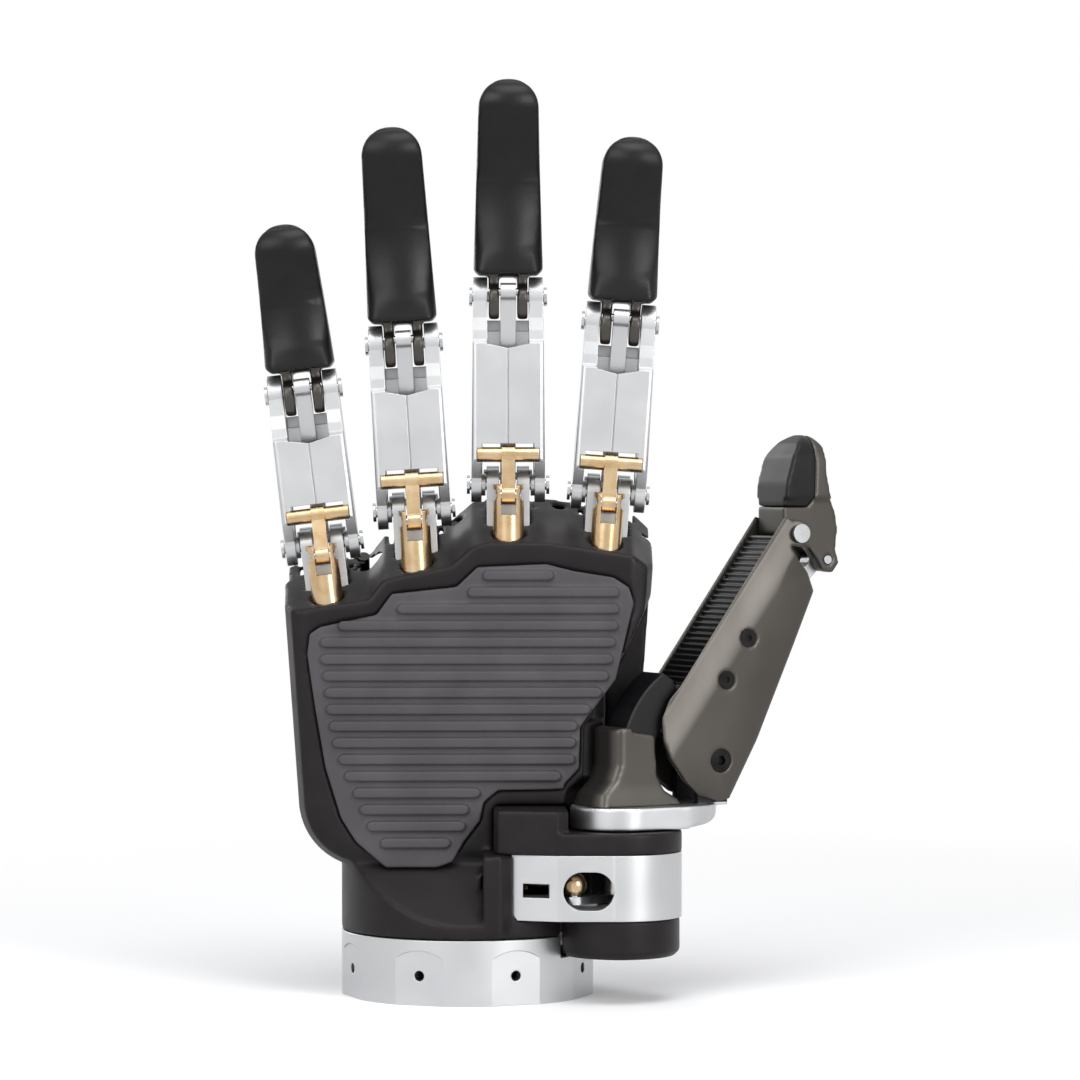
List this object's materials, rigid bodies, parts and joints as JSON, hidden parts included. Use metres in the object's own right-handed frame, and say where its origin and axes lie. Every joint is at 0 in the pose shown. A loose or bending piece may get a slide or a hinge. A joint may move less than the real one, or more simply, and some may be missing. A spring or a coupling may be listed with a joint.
{
  "type": "robot hand",
  "caption": "Human-sized right robot hand: palm with wrist ring, coupled two-joint fingers driven by push rods, and a turning, flexing thumb.",
  "frame": {"origin": "centre of the wrist socket at the lower face of the wrist ring", "axes": "+Z along the fingers, -Y out of the palm, +X towards the thumb"},
  "size_m": [0.1371, 0.06, 0.213],
  "materials": {
    "black_shell": "satin near-black",
    "gunmetal": "dark grey satin anodised",
    "silver": "satin bead-blasted",
    "brass": "turned",
    "steel": "turned",
    "grip_rubber": "matt",
    "tip_rubber": "fine grain, matt",
    "black_plastic": "matt",
    "motor": "dark",
    "board": "circuit board",
    "contact_metal": "plated"
  },
  "bodies": {
    "palm": {"palm_frame": "black_shell", "back_cover": "gunmetal", "palm_pad": "grip_rubber", "wrist_ring": "silver", "connector_housing": "black_plastic", "connector_contacts": "contact_metal", "cover_screws": "steel", "finger_actuators": "motor", "thumb_actuator": "motor", "control_board": "board", "knuckle_brackets": "silver", "knuckle_pins": "steel", "thumb_housing": "silver", "thumb_base_cap": "black_shell", "thumb_base_cover": "black_shell", "thumb_bearings": "steel"},
    "index_proximal": {"index_proximal": "silver"},
    "index_distal": {"index_distal_shell": "gunmetal", "index_fingertip_pad": "tip_rubber", "index_joint_pins": "steel"},
    "index_coupler": {"index_coupler_link": "silver"},
    "index_drive": {"index_drive_link": "brass", "index_drive_pin": "steel"},
    "index_rod": {"index_push_rod": "brass"},
    "middle_proximal": {"middle_proximal": "silver"},
    "middle_distal": {"middle_distal_shell": "gunmetal", "middle_fingertip_pad": "tip_rubber", "middle_joint_pins": "steel"},
    "middle_coupler": {"middle_coupler_link": "silver"},
    "middle_drive": {"middle_drive_link": "brass", "middle_drive_pin": "steel"},
    "middle_rod": {"middle_push_rod": "brass"},
    "ring_proximal": {"ring_proximal": "silver"},
    "ring_distal": {"ring_distal_shell": "gunmetal", "ring_fingertip_pad": "tip_rubber", "ring_joint_pins": "steel"},
    "ring_coupler": {"ring_coupler_link": "silver"},
    "ring_drive": {"ring_drive_link": "brass", "ring_drive_pin": "steel"},
    "ring_rod": {"ring_push_rod": "brass"},
    "little_proximal": {"little_proximal": "silver"},
    "little_distal": {"little_distal_shell": "gunmetal", "little_fingertip_pad": "tip_rubber", "little_joint_pins": "steel"},
    "little_coupler": {"little_coupler_link": "silver"},
    "little_drive": {"little_drive_link": "brass", "little_drive_pin": "steel"},
    "little_rod": {"little_push_rod": "brass"},
    "thumb_base": {"thumb_shaft": "steel", "thumb_yoke": "silver", "thumb_cowl": "black_shell"},
    "thumb_rod": {"thumb_pull_rod": "brass"},
    "thumb_lower": {"thumb_shell": "gunmetal", "thumb_grip": "grip_rubber", "thumb_screws": "steel", "thumb_pivot_pin": "steel"},
    "thumb_tip": {"thumb_tip_shell": "gunmetal", "thumb_tip_pad": "tip_rubber", "thumb_tip_pins": "steel"},
    "thumb_coupler": {"thumb_link": "silver"}
  },
  "joints": [
    {"name": "index_rod_slide", "type": "slide", "parent": "palm", "child": "index_rod", "axis": [-0.0698, 0, -0.9976], "range_m": [0, 0.01135]},
    {"name": "index_knuckle", "type": "hinge", "parent": "palm", "child": "index_proximal", "pos_m": [0.033, 0, 0.117], "axis": [0.9976, 0, -0.0698], "range_deg": [-3, 78]},
    {"name": "index_middle_joint", "type": "hinge", "parent": "index_proximal", "child": "index_distal", "pos_m": [0.03579, 0, 0.1569], "axis": [0.9976, 0, -0.0698], "range_deg": [-3, 74]},
    {"name": "index_coupler_pivot", "type": "hinge", "parent": "palm", "child": "index_coupler", "pos_m": [0.03314, 0.004, 0.119], "axis": [0.9976, 0, -0.0698], "range_deg": [-3, 74]},
    {"name": "index_crossbar_pivot", "type": "hinge", "parent": "index_proximal", "child": "index_drive", "pos_m": [0.03349, -0.0062, 0.12398], "axis": [0.9976, 0, -0.0698], "range_deg": [-67, 3]},
    {"name": "middle_rod_slide", "type": "slide", "parent": "palm", "child": "middle_rod", "axis": [0, 0, -1], "range_m": [0, 0.01135]},
    {"name": "middle_knuckle", "type": "hinge", "parent": "palm", "child": "middle_proximal", "pos_m": [0.0095, 0, 0.119], "axis": [1, 0, 0], "range_deg": [-3, 78]},
    {"name": "middle_middle_joint", "type": "hinge", "parent": "middle_proximal", "child": "middle_distal", "pos_m": [0.0095, 0, 0.163], "axis": [1, 0, 0], "range_deg": [-3, 74]},
    {"name": "middle_coupler_pivot", "type": "hinge", "parent": "palm", "child": "middle_coupler", "pos_m": [0.0095, 0.004, 0.121], "axis": [1, 0, 0], "range_deg": [-3, 74]},
    {"name": "middle_crossbar_pivot", "type": "hinge", "parent": "middle_proximal", "child": "middle_drive", "pos_m": [0.0095, -0.0062, 0.126], "axis": [1, 0, 0], "range_deg": [-67, 3]},
    {"name": "ring_rod_slide", "type": "slide", "parent": "palm", "child": "ring_rod", "axis": [0.061, 0, -0.9981], "range_m": [0, 0.01135]},
    {"name": "ring_knuckle", "type": "hinge", "parent": "palm", "child": "ring_proximal", "pos_m": [-0.0125, 0, 0.113], "axis": [0.9981, 0, 0.061], "range_deg": [-3, 78]},
    {"name": "ring_middle_joint", "type": "hinge", "parent": "ring_proximal", "child": "ring_distal", "pos_m": [-0.01488, 0, 0.15193], "axis": [0.9981, 0, 0.061], "range_deg": [-3, 74]},
    {"name": "ring_coupler_pivot", "type": "hinge", "parent": "palm", "child": "ring_coupler", "pos_m": [-0.01262, 0.004, 0.115], "axis": [0.9981, 0, 0.061], "range_deg": [-3, 74]},
    {"name": "ring_crossbar_pivot", "type": "hinge", "parent": "ring_proximal", "child": "ring_drive", "pos_m": [-0.01293, -0.0062, 0.11999], "axis": [0.9981, 0, 0.061], "range_deg": [-67, 3]},
    {"name": "little_rod_slide", "type": "slide", "parent": "palm", "child": "little_rod", "axis": [0.1219, 0, -0.9925], "range_m": [0, 0.01135]},
    {"name": "little_knuckle", "type": "hinge", "parent": "palm", "child": "little_proximal", "pos_m": [-0.034, 0, 0.105], "axis": [0.9925, 0, 0.1219], "range_deg": [-3, 78]},
    {"name": "little_middle_joint", "type": "hinge", "parent": "little_proximal", "child": "little_distal", "pos_m": [-0.03839, 0, 0.14073], "axis": [0.9925, 0, 0.1219], "range_deg": [-3, 74]},
    {"name": "little_coupler_pivot", "type": "hinge", "parent": "palm", "child": "little_coupler", "pos_m": [-0.03424, 0.004, 0.10698], "axis": [0.9925, 0, 0.1219], "range_deg": [-3, 74]},
    {"name": "little_crossbar_pivot", "type": "hinge", "parent": "little_proximal", "child": "little_drive", "pos_m": [-0.03485, -0.0062, 0.11195], "axis": [0.9925, 0, 0.1219], "range_deg": [-67, 3]},
    {"name": "thumb_rotate", "type": "hinge", "parent": "palm", "child": "thumb_base", "pos_m": [0.035, -0.016, 0.04], "axis": [0, 0, 1], "range_deg": [-95, 0]},
    {"name": "thumb_flex", "type": "hinge", "parent": "thumb_base", "child": "thumb_lower", "pos_m": [0.05505, -0.00579, 0.0551], "axis": [0.454, -0.891, 0], "range_deg": [0, 20]},
    {"name": "thumb_tip_joint", "type": "hinge", "parent": "thumb_lower", "child": "thumb_tip", "pos_m": [0.07394, 0.00384, 0.1076], "axis": [0.454, -0.891, 0], "range_deg": [0, 20.5]},
    {"name": "thumb_coupler_pivot", "type": "hinge", "parent": "thumb_base", "child": "thumb_coupler", "pos_m": [0.04703, -0.00987, 0.0631], "axis": [0.454, -0.891, 0], "range_deg": [0, 22.5]},
    {"name": "thumb_ball_pivot", "type": "hinge", "parent": "thumb_base", "child": "thumb_rod", "pos_m": [0.02446, -0.02394, 0.0273], "axis": [0, 0, 1], "range_deg": [0, 169]}
  ],
  "couplings": [
    {"joint": "index_knuckle", "follows": "index_rod_slide", "rad_per_m": 115.33},
    {"joint": "index_middle_joint", "follows": "index_rod_slide", "rad_per_m": 108.41},
    {"joint": "index_coupler_pivot", "follows": "index_rod_slide", "rad_per_m": 108.41},
    {"joint": "index_crossbar_pivot", "follows": "index_rod_slide", "rad_per_m": -98.03},
    {"joint": "middle_knuckle", "follows": "middle_rod_slide", "rad_per_m": 115.33},
    {"joint": "middle_middle_joint", "follows": "middle_rod_slide", "rad_per_m": 108.41},
    {"joint": "middle_coupler_pivot", "follows": "middle_rod_slide", "rad_per_m": 108.41},
    {"joint": "middle_crossbar_pivot", "follows": "middle_rod_slide", "rad_per_m": -98.03},
    {"joint": "ring_knuckle", "follows": "ring_rod_slide", "rad_per_m": 115.33},
    {"joint": "ring_middle_joint", "follows": "ring_rod_slide", "rad_per_m": 108.41},
    {"joint": "ring_coupler_pivot", "follows": "ring_rod_slide", "rad_per_m": 108.41},
    {"joint": "ring_crossbar_pivot", "follows": "ring_rod_slide", "rad_per_m": -98.03},
    {"joint": "little_knuckle", "follows": "little_rod_slide", "rad_per_m": 115.33},
    {"joint": "little_middle_joint", "follows": "little_rod_slide", "rad_per_m": 108.41},
    {"joint": "little_coupler_pivot", "follows": "little_rod_slide", "rad_per_m": 108.41},
    {"joint": "little_crossbar_pivot", "follows": "little_rod_slide", "rad_per_m": -98.03},
    {"joint": "thumb_tip_joint", "follows": "thumb_flex", "ratio": 1},
    {"joint": "thumb_coupler_pivot", "follows": "thumb_flex", "ratio": 1.1},
    {"joint": "thumb_ball_pivot", "follows": "thumb_rotate", "ratio": -1.776}
  ]
}
